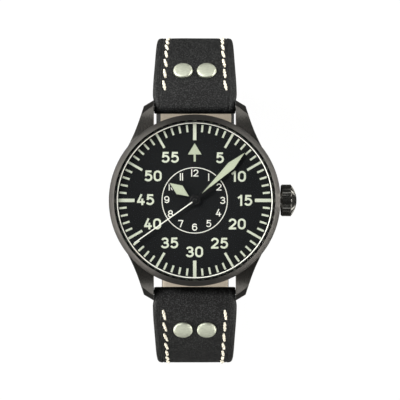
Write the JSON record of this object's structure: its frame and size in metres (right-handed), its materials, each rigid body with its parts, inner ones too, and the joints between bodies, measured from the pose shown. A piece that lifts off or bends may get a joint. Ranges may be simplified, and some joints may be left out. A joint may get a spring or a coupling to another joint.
{
  "type": "pilot watch",
  "caption": "Black pilot wristwatch with luminous three-hand dial, fluted crown, four lugs and a riveted leather strap buckled in a closed loop.",
  "frame": {"origin": "centre of the case back's outer face, on the axis of the hands", "axes": "+Z out of the dial through the crystal, +Y to 12 o'clock along the strap, +X to the crown at 3 o'clock"},
  "size_m": [0.046, 0.0836, 0.0653],
  "materials": {
    "case_black": "bead-blasted stainless steel with a black coating",
    "sapphire": "clear polished sapphire",
    "dial_black": "matt black lacquer",
    "ring_black": "matt black lacquer",
    "hand_black": "satin black lacquer",
    "lume": "cream-green luminous compound",
    "plate_rhodium": "rhodium-plated brass with fine graining",
    "wheel_gold": "gilt brass",
    "steel": "brushed steel",
    "leather_black": "grained black calf leather",
    "rivet_steel": "satin light steel"
  },
  "bodies": {
    "case": {"balance_cock": "plate_rhodium", "bezel": "case_black", "buckle_bar": "steel", "case_back": "case_black", "case_middle": "case_black", "crown_tube": "steel", "crystal": "sapphire", "dial": "dial_black", "fixed_keeper": "leather_black", "main_plate": "plate_rhodium", "minute_post": "steel", "rehaut_ring": "ring_black", "strap_bar_12": "steel", "strap_bar_6": "steel", "strap_long": "leather_black", "strap_rivets": "rivet_steel", "strap_short": "leather_black", "train_bridge": "plate_rhodium"},
    "clutch": {"sliding_pinion": "steel"},
    "crown": {"crown": "case_black", "winding_stem": "steel"},
    "ratchet": {"ratchet_wheel": "steel", "barrel_arbor": "steel"},
    "seconds": {"seconds_hand": "hand_black", "fourth_wheel": "wheel_gold"},
    "minutes": {"minute_hand": "hand_black", "minute_hand_lume": "lume", "cannon_pinion": "steel", "centre_wheel": "wheel_gold"},
    "hours": {"hour_hand": "hand_black", "hour_hand_lume": "lume", "hour_wheel": "wheel_gold"},
    "minute_wheel": {"minute_wheel": "wheel_gold"},
    "third_wheel": {"third_wheel": "wheel_gold"},
    "escape_wheel": {"escape_wheel": "steel"},
    "barrel": {"mainspring_barrel": "wheel_gold"},
    "pallet_fork": {"pallet_fork": "steel"},
    "balance": {"balance_wheel": "wheel_gold", "hairspring": "steel"},
    "buckle_frame": {"buckle_frame": "case_black"},
    "buckle_tongue": {"buckle_tongue": "case_black"},
    "free_keeper": {"free_keeper": "leather_black"}
  },
  "joints": [
    {"name": "crown_turn", "type": "hinge", "parent": "case", "child": "clutch", "pos_m": [0.0105, 0, 0.0056], "axis": [1, 0, 0], "continuous": true},
    {"name": "crown_pull", "type": "slide", "parent": "clutch", "child": "crown", "axis": [1, 0, 0], "range_m": [0, 0.0016]},
    {"name": "ratchet_turn", "type": "hinge", "parent": "case", "child": "ratchet", "pos_m": [0.00335, 0.0058, 0.005], "axis": [0, 0, -1], "continuous": true},
    {"name": "seconds_turn", "type": "hinge", "parent": "case", "child": "seconds", "pos_m": [0, 0, 0.0065], "axis": [0, 0, -1], "continuous": true},
    {"name": "minutes_turn", "type": "hinge", "parent": "case", "child": "minutes", "pos_m": [0, 0, 0.0065], "axis": [0, 0, -1], "continuous": true},
    {"name": "hours_turn", "type": "hinge", "parent": "case", "child": "hours", "pos_m": [0, 0, 0.008], "axis": [0, 0, -1], "continuous": true},
    {"name": "minute_wheel_turn", "type": "hinge", "parent": "case", "child": "minute_wheel", "pos_m": [0.00199, -0.00167, 0.0076], "axis": [0, 0, -1], "continuous": true},
    {"name": "third_wheel_turn", "type": "hinge", "parent": "case", "child": "third_wheel", "pos_m": [-0.0031, 0.0026, 0.005], "axis": [0, 0, -1], "continuous": true},
    {"name": "escape_wheel_turn", "type": "hinge", "parent": "case", "child": "escape_wheel", "pos_m": [-0.00056, -0.00401, 0.005], "axis": [0, 0, -1], "continuous": true},
    {"name": "barrel_turn", "type": "hinge", "parent": "case", "child": "barrel", "pos_m": [0.00335, 0.0058, 0.0058], "axis": [0, 0, -1], "continuous": true},
    {"name": "pallet_swing", "type": "hinge", "parent": "case", "child": "pallet_fork", "pos_m": [-0.00314, -0.00426, 0.005], "axis": [0, 0, 1], "range_deg": [-5, 5]},
    {"name": "balance_swing", "type": "hinge", "parent": "case", "child": "balance", "pos_m": [-0.00655, -0.00459, 0.005], "axis": [0, 0, 1], "range_deg": [-270, 270], "stiffness_Nm_per_rad": 0.00000025, "deforming": ["hairspring"]},
    {"name": "buckle_swing", "type": "hinge", "parent": "case", "child": "buckle_frame", "pos_m": [0, 0.0075, -0.04748], "axis": [1, 0, 0], "range_deg": [0, 6]},
    {"name": "tongue_swing", "type": "hinge", "parent": "buckle_frame", "child": "buckle_tongue", "pos_m": [0, 0.0075, -0.04748], "axis": [1, 0, 0], "range_deg": [0, 10]},
    {"name": "keeper_slide", "type": "hinge", "parent": "case", "child": "free_keeper", "pos_m": [0, 0.0148, -0.02198], "axis": [1, 0, 0], "range_deg": [-5.5, 14]}
  ],
  "couplings": [
    {"joint": "ratchet_turn", "follows": "crown_turn", "ratio": 0.33333},
    {"joint": "minutes_turn", "follows": "seconds_turn", "ratio": 0.016667},
    {"joint": "hours_turn", "follows": "seconds_turn", "ratio": 0.0013889},
    {"joint": "minute_wheel_turn", "follows": "seconds_turn", "ratio": -0.0055556},
    {"joint": "third_wheel_turn", "follows": "seconds_turn", "ratio": -0.13333},
    {"joint": "escape_wheel_turn", "follows": "seconds_turn", "ratio": -9},
    {"joint": "barrel_turn", "follows": "seconds_turn", "ratio": -0.0027778}
  ]
}
